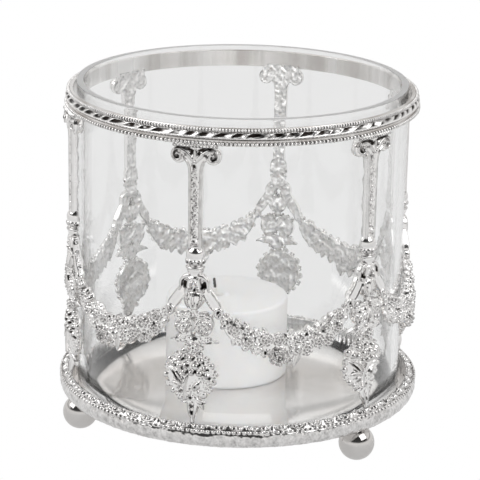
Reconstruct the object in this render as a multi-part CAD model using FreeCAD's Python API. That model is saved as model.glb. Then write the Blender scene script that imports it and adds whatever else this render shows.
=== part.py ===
import FreeCAD, Part

import math
import os

from FreeCAD import Vector

# A candle lantern: a loose glass cylinder inside a cast gallery of six columns and six garlands, on a round tray
# with three ball feet, and a loose candle on the tray. Millimetres, +Z up, origin under the middle of the object
# at the level of the surface it stands on. Azimuth 0 faces -Y and grows towards +X.

# ---- driving dimensions -------------------------------------------------------------------------------------

BAYS = 6                      # columns, pendants and garlands round the gallery
FEET = 3

TRAY_OUTER_R = 75.0           # widest radius of the tray's rim
TRAY_INNER_R = 71.0           # upright inner wall of the rim, into which the floor plate is soldered
RIM_BOTTOM_Z = 14.2
RIM_WIDEST_Z = 18.1
RIM_TOP_Z = 23.2
RIM_LIP_R = 73.1              # outer edge of the rim's flat top
RIM_SKIRT_R = 73.2            # outer edge of its underside
RIM_LAND_R = 74.45            # upright land that carries the bead wire
RIM_LAND_LOW_Z = 20.3
RIM_LAND_HIGH_Z = 21.8
FLOOR_THICKNESS = 2.3

FOOT_R = 7.3                  # ball foot
FOOT_CENTRE_Z = 7.15          # just under the radius, which leaves a small flat to stand on
FOOT_SEAT_Z = 12.6            # the ball is faced off here for its collar
FOOT_PITCH_R = 67.9
STUD_R = 1.9
STUD_BOTTOM_Z = 8.0
COLLAR_R = 3.2

GLASS_OUTER_R = 67.6
GLASS_WALL = 2.8
GLASS_TOP_Z = 145.9

BAND_INNER_R = 69.0           # top ring's plain band
BAND_OUTER_R = 70.4
BAND_BOTTOM_Z = 136.2
BAND_TOP_Z = 143.1
FLANGE_R = 71.3               # the band's thicker lower edge
FLANGE_TOP_Z = 138.5
ROPE_Z = 140.1                # slanted-leaf moulding round the band
ROPE_HALF_HEIGHT = 1.55
ROPE_DEPTH = 1.85
UPPER_BEAD_Z = 142.4
LOWER_BEAD_Z = 137.1

BACK_R = 69.0                 # flat back of every gallery casting, clear of the glass
COLUMN_BOTTOM_Z = 94.5
COLUMN_NECK_Z = 124.5
SHAFT_HALF_WIDTH_LOW = 2.5
SHAFT_HALF_WIDTH_HIGH = 2.8
SHAFT_EDGE_R = 70.9           # where the shaft's rounded front begins
SHAFT_FRONT_R = 72.0

VOLUTE_X = 6.9                # capital's scrolls, each side of the column's middle
VOLUTE_Z = 131.9
VOLUTE_R = 3.35

KNOP_R = 4.2
KNOP_Z = 91.3
KNOP_AXIS_R = 69.3            # the knop is a half ball on its flat back
CUP_TOP_Z = 87.9
CUP_BOTTOM_Z = 83.5

CARTOUCHE_R = 10.4
CARTOUCHE_Z = 42.9
CARTOUCHE_DEPTH = 6.3

SWAG_R = 72.0                 # radius that the garland's rosettes are spaced out on
SWAG_LOW_Z = 54.2             # middle of the garland
SWAG_RISE = 11.6              # from its middle to its ends
SWAG_HALF_LENGTH = 26.4       # along the arc
SWAG_POWER = 1.65

CANDLE_R = 25.85
CANDLE_HEIGHT = 33.6
CANDLE_X = -7.8               # the candle stands a little off the middle
CANDLE_Y = 10.2
WICK_R = 0.75

# ---- worked out from those ----------------------------------------------------------------------------------

UP = Vector(0, 0, 1)
FLOOR_Z = RIM_BOTTOM_Z + FLOOR_THICKNESS
BAY_ANGLE = 360.0 / BAYS
FOOT_ANGLE = 360.0 / FEET
FIRST_FOOT_ANGLE = BAY_ANGLE  # feet stand under every second column
RIM_SEAT_R = TRAY_INNER_R + 1.05


# ---- shape helpers ------------------------------------------------------------------------------------------

def front(x, radius, z):
    """A point of a piece that faces -Y: x to the side, radius outwards, z up."""
    return Vector(x, -radius, z)


def turned(shape, angle):
    """A copy of shape turned by angle degrees about the object's axis."""
    copy = shape.copy()
    copy.rotate(Vector(0, 0, 0), UP, angle)
    return copy


def closed_face(*edges):
    return Part.Face(Part.Wire([edge.toShape() for edge in edges]))


def line(a, b):
    return Part.LineSegment(a, b)


def arc(a, middle, b):
    return Part.Arc(a, middle, b)


def section(radius, z):
    """A point of a profile that is revolved about the object's axis."""
    return Vector(radius, 0, z)


def revolved(face):
    return face.revolve(Vector(0, 0, 0), UP, 360)


def polygon_ring(points):
    """A ring whose section is the polygon through these (radius, z) points."""
    corners = [section(radius, z) for radius, z in points]
    edges = [line(a, b) for a, b in zip(corners, corners[1:] + corners[:1])]
    return revolved(closed_face(*edges))


def half_round_ring(seat_r, z, half_height, depth):
    """A ring of half-round wire, flat against an upright seat."""
    low, high = section(seat_r, z - half_height), section(seat_r, z + half_height)
    return revolved(closed_face(line(high, low), arc(low, section(seat_r + depth, z), high)))


def block(x_half, r_low, r_high, z_low, z_high):
    """A box facing -Y, centred from side to side."""
    corner = Vector(-x_half, -r_high, z_low)
    return Part.makeBox(2 * x_half, r_high - r_low, z_high - z_low, corner)


def outward_cylinder(x, z, radius, r_low, r_high):
    """A cylinder whose axis points outwards through a piece that faces -Y."""
    return Part.makeCylinder(radius, r_high - r_low, front(x, r_low, z), Vector(0, -1, 0))


def rod(start, end, radius):
    along = end - start
    return Part.makeCylinder(radius, along.Length, start, along)


def taper(start, end, start_radius, end_radius):
    along = end - start
    return Part.makeCone(start_radius, end_radius, along.Length, start, along)


def dome(x, z, radius, edge_depth, crown_depth):
    """A round boss on the flat back: a disc whose front is a ball's cap, from edge_depth up to crown_depth."""
    edge = BACK_R + edge_depth
    crown = BACK_R + crown_depth
    rise = crown - edge
    ball_r = (radius ** 2 + rise ** 2) / (2 * rise)
    halfway = crown - ball_r + math.sqrt(ball_r ** 2 - radius ** 2 / 4)
    face = closed_face(
        line(front(x, BACK_R, z), front(x + radius, BACK_R, z)),
        line(front(x + radius, BACK_R, z), front(x + radius, edge, z)),
        arc(front(x + radius, edge, z), front(x + radius / 2, halfway, z), front(x, crown, z)),
        line(front(x, crown, z), front(x, BACK_R, z)),
    )
    return face.revolve(front(x, BACK_R, z), Vector(0, -1, 0), 360)


def fused(shapes):
    first, *others = shapes
    return first.multiFuse(others).removeSplitter()


def flat_backed(shape):
    """Only what lies in front of the flat back of the castings."""
    return shape.common(block(40, BACK_R, 90, 0, 160))


# ---- tray ---------------------------------------------------------------------------------------------------

def foot_places():
    for i in range(FEET):
        angle = math.radians(FIRST_FOOT_ANGLE + i * FOOT_ANGLE)
        yield FOOT_PITCH_R * math.sin(angle), -FOOT_PITCH_R * math.cos(angle)


def make_foot_balls():
    balls = []
    for x, y in foot_places():
        ball = Part.makeSphere(FOOT_R, Vector(x, y, FOOT_CENTRE_Z))
        keep = Part.makeCylinder(2 * FOOT_R, FOOT_SEAT_Z, Vector(x, y, 0))
        bore = Part.makeCylinder(STUD_R, FOOT_SEAT_Z, Vector(x, y, STUD_BOTTOM_Z))
        balls.append(ball.common(keep).cut(bore))
    return balls


def make_foot_studs():
    """Studs with a collar: each runs from inside its ball to the underside of the floor plate."""
    studs = []
    for x, y in foot_places():
        shank = Part.makeCylinder(STUD_R, RIM_BOTTOM_Z - STUD_BOTTOM_Z, Vector(x, y, STUD_BOTTOM_Z))
        collar = Part.makeCylinder(COLLAR_R, RIM_BOTTOM_Z - FOOT_SEAT_Z, Vector(x, y, FOOT_SEAT_Z))
        studs.append(fused([shank, collar]))
    return Part.makeCompound(studs)


def make_tray_floor():
    return Part.makeCylinder(TRAY_INNER_R, FLOOR_THICKNESS, Vector(0, 0, RIM_BOTTOM_Z))


def make_tray_rim():
    wall_low = section(TRAY_INNER_R, RIM_BOTTOM_Z)
    wall_high = section(TRAY_INNER_R, RIM_TOP_Z)
    lip = section(RIM_LIP_R, RIM_TOP_Z)
    shoulder = section(RIM_LIP_R + 1.0, RIM_TOP_Z - 0.45)
    land_high = section(RIM_LAND_R, RIM_LAND_HIGH_Z)
    land_low = section(RIM_LAND_R, RIM_LAND_LOW_Z)
    skirt = section(RIM_SKIRT_R, RIM_BOTTOM_Z)
    return revolved(closed_face(
        line(wall_low, wall_high),
        line(wall_high, lip),
        arc(lip, shoulder, land_high),
        line(land_high, land_low),
        arc(land_low, section(TRAY_OUTER_R, RIM_WIDEST_Z), skirt),
        line(skirt, wall_low),
    ))


def make_rim_bead_wire():
    return half_round_ring(RIM_LAND_R, (RIM_LAND_LOW_Z + RIM_LAND_HIGH_Z) / 2, 0.7, 0.85)


# ---- top ring -----------------------------------------------------------------------------------------------

def make_ring_band():
    return polygon_ring([
        (BAND_INNER_R, BAND_BOTTOM_Z),
        (FLANGE_R, BAND_BOTTOM_Z),
        (FLANGE_R, FLANGE_TOP_Z),
        (BAND_OUTER_R, FLANGE_TOP_Z),
        (BAND_OUTER_R, BAND_TOP_Z),
        (BAND_INNER_R, BAND_TOP_Z),
    ])


def make_rope_moulding():
    return half_round_ring(BAND_OUTER_R, ROPE_Z, ROPE_HALF_HEIGHT, ROPE_DEPTH)


def make_upper_bead_wire():
    return half_round_ring(BAND_OUTER_R, UPPER_BEAD_Z, 0.5, 1.1)


def make_lower_bead_wire():
    return half_round_ring(FLANGE_R, LOWER_BEAD_Z, 0.7, 1.15)


# ---- gallery castings, each built facing -Y -----------------------------------------------------------------

def shaft_section(half_width, z):
    left = front(-half_width, BACK_R, z)
    right = front(half_width, BACK_R, z)
    right_edge = front(half_width, SHAFT_EDGE_R, z)
    left_edge = front(-half_width, SHAFT_EDGE_R, z)
    crown = front(0, SHAFT_FRONT_R, z)
    edges = [line(left, right), line(right, right_edge), arc(right_edge, crown, left_edge), line(left_edge, left)]
    return Part.Wire([edge.toShape() for edge in edges])


def make_shaft():
    low = shaft_section(SHAFT_HALF_WIDTH_LOW, COLUMN_BOTTOM_Z)
    high = shaft_section(SHAFT_HALF_WIDTH_HIGH, COLUMN_NECK_Z)
    shaft = Part.makeLoft([low, high], True, True)
    channel = block(1.15, SHAFT_FRONT_R - 0.5, SHAFT_FRONT_R + 1, COLUMN_BOTTOM_Z + 5, COLUMN_NECK_Z)
    return shaft.cut(channel)


def make_capital():
    """An Ionic capital: a flared neck, two scrolls joined by a bar, and an abacus under the top ring."""
    neck_half = SHAFT_HALF_WIDTH_HIGH
    flare_half = 4.6
    flare_z = VOLUTE_Z - 1.4
    top_z = VOLUTE_Z + 2.4
    neck = closed_face(
        line(front(-neck_half, BACK_R, COLUMN_NECK_Z), front(neck_half, BACK_R, COLUMN_NECK_Z)),
        arc(front(neck_half, BACK_R, COLUMN_NECK_Z), front(3.2, BACK_R, COLUMN_NECK_Z + 3.6),
            front(flare_half, BACK_R, flare_z)),
        line(front(flare_half, BACK_R, flare_z), front(flare_half, BACK_R, top_z)),
        line(front(flare_half, BACK_R, top_z), front(-flare_half, BACK_R, top_z)),
        line(front(-flare_half, BACK_R, top_z), front(-flare_half, BACK_R, flare_z)),
        arc(front(-flare_half, BACK_R, flare_z), front(-3.2, BACK_R, COLUMN_NECK_Z + 3.6),
            front(-neck_half, BACK_R, COLUMN_NECK_Z)),
    ).extrude(Vector(0, BACK_R - SHAFT_FRONT_R - 0.2, 0))
    scroll_front = BACK_R + 4.2
    pieces = [neck, block(VOLUTE_X, BACK_R, BACK_R + 3.8, VOLUTE_Z + 1.3, VOLUTE_Z + VOLUTE_R)]
    for x in (-VOLUTE_X, VOLUTE_X):
        scroll = outward_cylinder(x, VOLUTE_Z, VOLUTE_R, BACK_R, scroll_front)
        groove = outward_cylinder(x, VOLUTE_Z, 2.45, scroll_front - 0.5, scroll_front)
        groove = groove.cut(outward_cylinder(x, VOLUTE_Z, 1.9, scroll_front - 0.5, scroll_front))
        eye = outward_cylinder(x, VOLUTE_Z, 0.9, scroll_front - 0.5, scroll_front + 0.4)
        pieces += [scroll.cut(groove), eye]
    pieces.append(block(8.2, BACK_R, BACK_R + 4.4, BAND_BOTTOM_Z - 1.1, BAND_BOTTOM_Z))
    pieces.append(block(6.0, BACK_R + 3.8, BACK_R + 4.6, BAND_BOTTOM_Z - 0.4, BAND_BOTTOM_Z + 1.9))
    dart_top = front(0, SHAFT_FRONT_R + 0.4, VOLUTE_Z + 2.6)
    pieces.append(taper(dart_top, front(0, SHAFT_FRONT_R, COLUMN_NECK_Z + 2.5), 1.5, 0.4))
    return fused(pieces)


def make_knop():
    ball = Part.makeSphere(KNOP_R, front(0, KNOP_AXIS_R, KNOP_Z))
    cup = taper(front(0, KNOP_AXIS_R, CUP_TOP_Z), front(0, KNOP_AXIS_R, CUP_BOTTOM_Z), 3.6, 2.4)
    lip = Part.makeCylinder(3.85, 0.9, front(0, KNOP_AXIS_R, CUP_TOP_Z - 0.6))
    return flat_backed(fused([ball, cup, lip]))


def make_column(knop):
    return fused([make_shaft(), make_capital()]).cut(knop)


def make_bow():
    """Two ribbon arms that run down and outwards from the knot to a knuckle at each end."""
    arm_r = BACK_R + 1.9
    knot = front(0, arm_r, CUP_BOTTOM_Z - 2.2)
    pieces = [Part.makeSphere(3.0, knot), rod(front(0, arm_r, CUP_BOTTOM_Z), knot, 2.3)]
    for side in (-1, 1):
        elbow = front(side * 5.2, arm_r, 79.2)
        knuckle = front(side * 10.6, arm_r, 69.4)
        pieces += [
            rod(knot, elbow, 1.6),
            Part.makeSphere(1.75, elbow),
            rod(elbow, knuckle, 1.7),
            Part.makeSphere(2.2, knuckle),
        ]
    return pieces


def make_cluster():
    """A bud over a heart-shaped group of two rosettes and a fruit, with a leaf tip out to each side."""
    middle_r = BACK_R + 2.4
    pieces = [
        taper(front(0, middle_r, 80.0), front(0, middle_r, 71.0), 3.2, 2.2),
        rod(front(0, middle_r, 72.0), front(0, middle_r, 50.0), 2.1),
        Part.makeSphere(3.7, front(0, middle_r, 60.0)),
        taper(front(0, middle_r, 60.0), front(0, middle_r, 53.0), 4.3, 2.2),
    ]
    for side in (-1, 1):
        pieces.append(dome(side * 3.6, 64.4, 4.7, 2.4, 4.9))
        pieces.append(taper(front(side * 3.0, middle_r, 60.5), front(side * 9.4, middle_r, 56.0), 2.3, 0.6))
    return pieces


def make_cartouche():
    """A round medallion ringed with flower bosses, and the leaf under it, which stands on the tray's rim."""
    pieces = [dome(0, CARTOUCHE_Z, CARTOUCHE_R - 1.2, 2.6, CARTOUCHE_DEPTH - 1.0)]
    bosses = 10
    for i in range(bosses):
        angle = 2 * math.pi * (i + 0.5) / bosses
        x = (CARTOUCHE_R - 2.1) * math.sin(angle)
        z = CARTOUCHE_Z + (CARTOUCHE_R - 2.1) * math.cos(angle)
        pieces.append(Part.makeSphere(2.3, front(x, BACK_R + 2.6, z)))
    pieces.append(Part.makeSphere(3.0, front(0, BACK_R + CARTOUCHE_DEPTH - 3.0, CARTOUCHE_Z)))
    leaf_r = BACK_R + 2.3
    pieces.append(taper(front(0, leaf_r, 34.0), front(0, RIM_SEAT_R, 25.0), 3.2, 1.1))
    pieces.append(rod(front(0, RIM_SEAT_R, 28.0), front(0, RIM_SEAT_R, RIM_TOP_Z), 0.9))
    return pieces


def make_pendant(knop):
    return flat_backed(fused(make_bow() + make_cluster() + make_cartouche())).cut(knop)


def swag_z(s):
    """Height of the garland's middle line, s along the arc from the middle of its bay."""
    return SWAG_LOW_Z + SWAG_RISE * (abs(s) / SWAG_HALF_LENGTH) ** SWAG_POWER


def make_swag(pendant):
    """Overlapping rosettes that shrink towards both ends, with a few leaf tips under them."""
    rosettes = [(0.0, 7.2, 7.4), (8.8, 5.5, 5.8), (15.6, 4.9, 4.9), (20.6, 4.5, 4.3), (23.6, 3.7, 3.8)]
    leaves = [(-12.5, 5.6), (-4.6, 6.8), (2.2, 8.0), (9.0, 5.2)]
    pieces = []
    for place, radius, depth in rosettes:
        for s in sorted({-place, place}):
            boss = dome(0, swag_z(s), radius, 2.4, depth)
            pieces.append(turned(boss, math.degrees(s / SWAG_R)))
    for s, drop in leaves:
        tip_z = swag_z(s) - drop
        leaf = taper(front(0, BACK_R + 1.8, swag_z(s) - 2), front(0, BACK_R + 1.8, tip_z), 2.8, 0.7)
        pieces.append(turned(flat_backed(leaf), math.degrees(s / SWAG_R)))
    swag = fused(pieces)
    for side in (-1, 1):
        swag = swag.cut(turned(pendant, side * BAY_ANGLE / 2))
    return swag


# ---- glass and candle ---------------------------------------------------------------------------------------

def make_glass():
    edge = 0.5
    inner = GLASS_OUTER_R - GLASS_WALL
    return polygon_ring([
        (inner, FLOOR_Z),
        (GLASS_OUTER_R, FLOOR_Z),
        (GLASS_OUTER_R, GLASS_TOP_Z - edge),
        (GLASS_OUTER_R - edge, GLASS_TOP_Z),
        (inner + edge, GLASS_TOP_Z),
        (inner, GLASS_TOP_Z - edge),
    ])


def make_wick():
    """Straight up through the wax, then bent over and up again at its burnt end."""
    top_z = FLOOR_Z + CANDLE_HEIGHT
    points = [
        Vector(CANDLE_X, CANDLE_Y, FLOOR_Z),
        Vector(CANDLE_X, CANDLE_Y, top_z + 0.6),
        Vector(CANDLE_X - 4.6, CANDLE_Y - 1.2, top_z + 3.2),
        Vector(CANDLE_X - 5.6, CANDLE_Y - 1.4, top_z + 7.2),
    ]
    runs = [rod(a, b, WICK_R) for a, b in zip(points, points[1:])]
    joints = [Part.makeSphere(WICK_R, point) for point in points[1:-1]]
    return fused(runs + joints)


def make_wax(wick):
    wax = Part.makeCylinder(CANDLE_R, CANDLE_HEIGHT, Vector(CANDLE_X, CANDLE_Y, FLOOR_Z))
    top_edges = [edge for edge in wax.Edges if edge.BoundBox.ZMin > FLOOR_Z + CANDLE_HEIGHT - 0.01]
    return wax.makeFillet(0.8, top_edges).cut(wick)


# ---- assembly -----------------------------------------------------------------------------------------------

def build():
    nodes = {}
    nodes["tray_floor"] = make_tray_floor()
    nodes["tray_rim"] = make_tray_rim()
    nodes["rim_bead_wire"] = make_rim_bead_wire()
    for i, ball in enumerate(make_foot_balls()):
        nodes[f"foot_ball_{i + 1}"] = ball
    nodes["foot_studs"] = make_foot_studs()

    nodes["ring_band"] = make_ring_band()
    nodes["rope_moulding"] = make_rope_moulding()
    nodes["upper_bead_wire"] = make_upper_bead_wire()
    nodes["lower_bead_wire"] = make_lower_bead_wire()

    knop = make_knop()
    column = make_column(knop)
    pendant = make_pendant(knop)
    swag = make_swag(pendant)
    for i in range(BAYS):
        angle = i * BAY_ANGLE
        nodes[f"column_{i + 1}"] = turned(column, angle)
        nodes[f"knop_{i + 1}"] = turned(knop, angle)
        nodes[f"pendant_{i + 1}"] = turned(pendant, angle)
        nodes[f"swag_{i + 1}"] = turned(swag, angle + BAY_ANGLE / 2)

    nodes["glass_cylinder"] = make_glass()
    nodes["candle_wick"] = make_wick()
    nodes["candle_wax"] = make_wax(nodes["candle_wick"])
    return nodes


os.makedirs("parts", exist_ok=True)
for name, shape in build().items():
    shape.exportStep(os.path.join("parts", name + ".step"))
    solids = shape.Solids
    volume = sum(solid.Volume for solid in solids)
    print(f"{name}: {len(solids)} solid(s), {volume:.0f} mm3, valid {shape.isValid()}")
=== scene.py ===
import random
from math import asin, atan2, cos, degrees, exp, hypot, pi, radians, sin, sqrt

import bmesh
import bpy
import numpy as np
from mathutils import Matrix, Vector, noise


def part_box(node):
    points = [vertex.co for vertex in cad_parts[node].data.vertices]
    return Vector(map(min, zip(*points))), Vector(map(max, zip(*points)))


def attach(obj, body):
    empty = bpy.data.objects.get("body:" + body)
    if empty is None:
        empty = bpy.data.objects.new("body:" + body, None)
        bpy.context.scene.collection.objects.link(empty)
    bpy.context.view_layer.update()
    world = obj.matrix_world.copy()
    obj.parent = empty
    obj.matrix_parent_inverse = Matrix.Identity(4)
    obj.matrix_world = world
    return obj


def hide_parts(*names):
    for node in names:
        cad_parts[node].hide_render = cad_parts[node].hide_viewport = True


# The looks of a silver-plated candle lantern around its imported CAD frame: finely modelled castings, a beaded
# and roped top ring, a palmette rim, clear glass, a wax stub and a plain studio. Shapes are in millimetres.

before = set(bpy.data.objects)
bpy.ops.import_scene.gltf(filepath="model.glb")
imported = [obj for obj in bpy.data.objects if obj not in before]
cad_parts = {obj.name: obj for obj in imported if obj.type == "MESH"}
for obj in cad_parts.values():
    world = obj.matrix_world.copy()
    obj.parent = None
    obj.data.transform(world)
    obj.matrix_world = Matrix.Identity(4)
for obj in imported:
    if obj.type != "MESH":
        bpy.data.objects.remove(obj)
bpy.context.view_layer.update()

MM = 0.001
TAU = 2 * pi


def node_box(node):
    """Lowest and highest corner of a CAD node, in millimetres."""
    low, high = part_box(node)
    return np.array(low) / MM, np.array(high) / MM


# ---- driving dimensions, from the frame ----

BAYS = 6
BAY_ANGLE = TAU / BAYS

rim_low, rim_high = node_box("tray_rim")
band_low, band_high = node_box("ring_band")
rope_low, rope_high = node_box("rope_moulding")
glass_low, glass_high = node_box("glass_cylinder")
wax_low, wax_high = node_box("candle_wax")

TRAY_R = rim_high[0]              # widest radius of the tray's rim
TRAY_INNER_R = node_box("tray_floor")[1][0]
RIM_FOOT_Z = rim_low[2]
RIM_TOP_Z = rim_high[2]
FLANGE_R = band_high[0]           # the thicker lower edge of the top ring's band
GLASS_R = glass_high[0]
GLASS_WALL = 2.8
GLASS_TOP_Z = glass_high[2]
WAX_TOP_Z = wax_high[2]
BACK_R = 69.0                     # flat back of every gallery casting
WRAP_R = 72.0                     # radius that the castings' widths are measured on


# ---- mesh helpers ----

def grid_faces(rings, sides, close_rings=False):
    """Quads between rings of points that each run round `sides` points."""
    faces = []
    for i in range(rings if close_rings else rings - 1):
        for j in range(sides):
            k = (j + 1) % sides
            n = (i + 1) % rings
            faces.append((i * sides + j, i * sides + k, n * sides + k, n * sides + j))
    return faces


def loft(rings):
    """A closed tube through rings of points, with flat ends."""
    rings = np.asarray(rings, float)
    count, sides = rings.shape[:2]
    faces = grid_faces(count, sides)
    faces.append(tuple(range(sides))[::-1])
    faces.append(tuple(range((count - 1) * sides, count * sides)))
    return rings.reshape(-1, 3), faces


def make_mesh(name, points, faces, smooth_under=None):
    """A smooth mesh in metres from points in millimetres, with edges over smooth_under degrees sharp."""
    mesh = bpy.data.meshes.new(name)
    mesh.from_pydata((np.asarray(points) * MM).tolist(), [], faces)
    mesh.validate()
    tidy = bmesh.new()
    tidy.from_mesh(mesh)
    bmesh.ops.recalc_face_normals(tidy, faces=tidy.faces)
    tidy.to_mesh(mesh)
    tidy.free()
    mesh.polygons.foreach_set("use_smooth", [True] * len(mesh.polygons))
    if smooth_under:
        mesh.set_sharp_from_angle(angle=radians(smooth_under))
    return mesh


def lathe(profile, segments):
    """A solid of revolution about Z through (radius, z) points that start and end on the axis or meet."""
    profile = np.asarray(profile, float)
    solid = profile[0][0] == 0
    ring = profile[1:-1] if solid else profile
    angles = np.arange(segments) * TAU / segments
    points = np.array([(r * sin(a), -r * cos(a), z) for r, z in ring for a in angles])
    faces = grid_faces(len(ring), segments, close_rings=not solid)
    if solid:
        first, last = len(points), len(points) + 1
        points = np.vstack([points, [(0, 0, profile[0][1]), (0, 0, profile[-1][1])]])
        base = (len(ring) - 1) * segments
        for j in range(segments):
            k = (j + 1) % segments
            faces.append((first, k, j))
            faces.append((last, base + j, base + k))
    return points, faces


def arc_points(centre, radius, start, end, count):
    """Points (a, b) of an arc from start to end degrees, both included."""
    return [(centre[0] + radius * cos(radians(t)), centre[1] + radius * sin(radians(t)))
            for t in np.linspace(start, end, count)]


def through(points, count):
    """A smooth path of count points through a few points of any dimension."""
    points = np.asarray(points, float)
    padded = np.vstack([2 * points[0] - points[1], points, 2 * points[-1] - points[-2]])
    path = []
    for t in np.linspace(0, len(points) - 1, count):
        i = min(int(t), len(points) - 2)
        u = t - i
        a, b, c, d = padded[i:i + 4]
        path.append(0.5 * (2 * b + (c - a) * u + (2 * a - 5 * b + 4 * c - d) * u ** 2
                           + (3 * b - a - 3 * c + d) * u ** 3))
    return np.array(path)


# ---- what a casting is built from ----
# A casting is modelled flat, x to the side, y outwards from its flat back and z up, and wrapped at the end.

PIT_DEPTH = 0.5
PIT_EDGE = 1.25                   # how far a pit's slope runs out, as a squared share of its size
FRONT_DEPTH = 0.8                 # surface nearer to the back than this has no pits
BACK_SKIN = 0.9                   # how deep the uneven back of a casting reaches into it
HOLLOW_ROUNDS = 5                 # how widely the surface is averaged to find its hollows
FULL_HOLLOW = 0.72                # depth of a hollow that gets the full painted shade, in mesh steps


def on_side(side, points):
    """(x, z) points of the right-hand side, put on that side."""
    return [(side * x, z) for x, z in points]


def mirrored(half):
    """A strip's section (across, height) from its left half, which ends on the middle line."""
    return half + [(-u, v) for u, v in half[::-1] if u]


PILL = mirrored([(-1, 0), (-1, 0.72), (-0.72, 0.93), (0, 1)])
SLAB = mirrored([(-1, 0), (-1, 0.92), (-0.94, 1)])
RIBBON = mirrored([(-1, 0), (-1, 0.9), (-0.9, 1), (-0.76, 0.97), (-0.66, 0.84), (0, 0.86)])
LEAF = mirrored([(-1, 0), (-0.98, 0.4), (-0.66, 0.88), (-0.3, 1), (0, 0.62)])
DOME = mirrored([(-1, 0), (-0.97, 0.3), (-0.74, 0.7), (-0.36, 0.94), (0, 1)])


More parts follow.
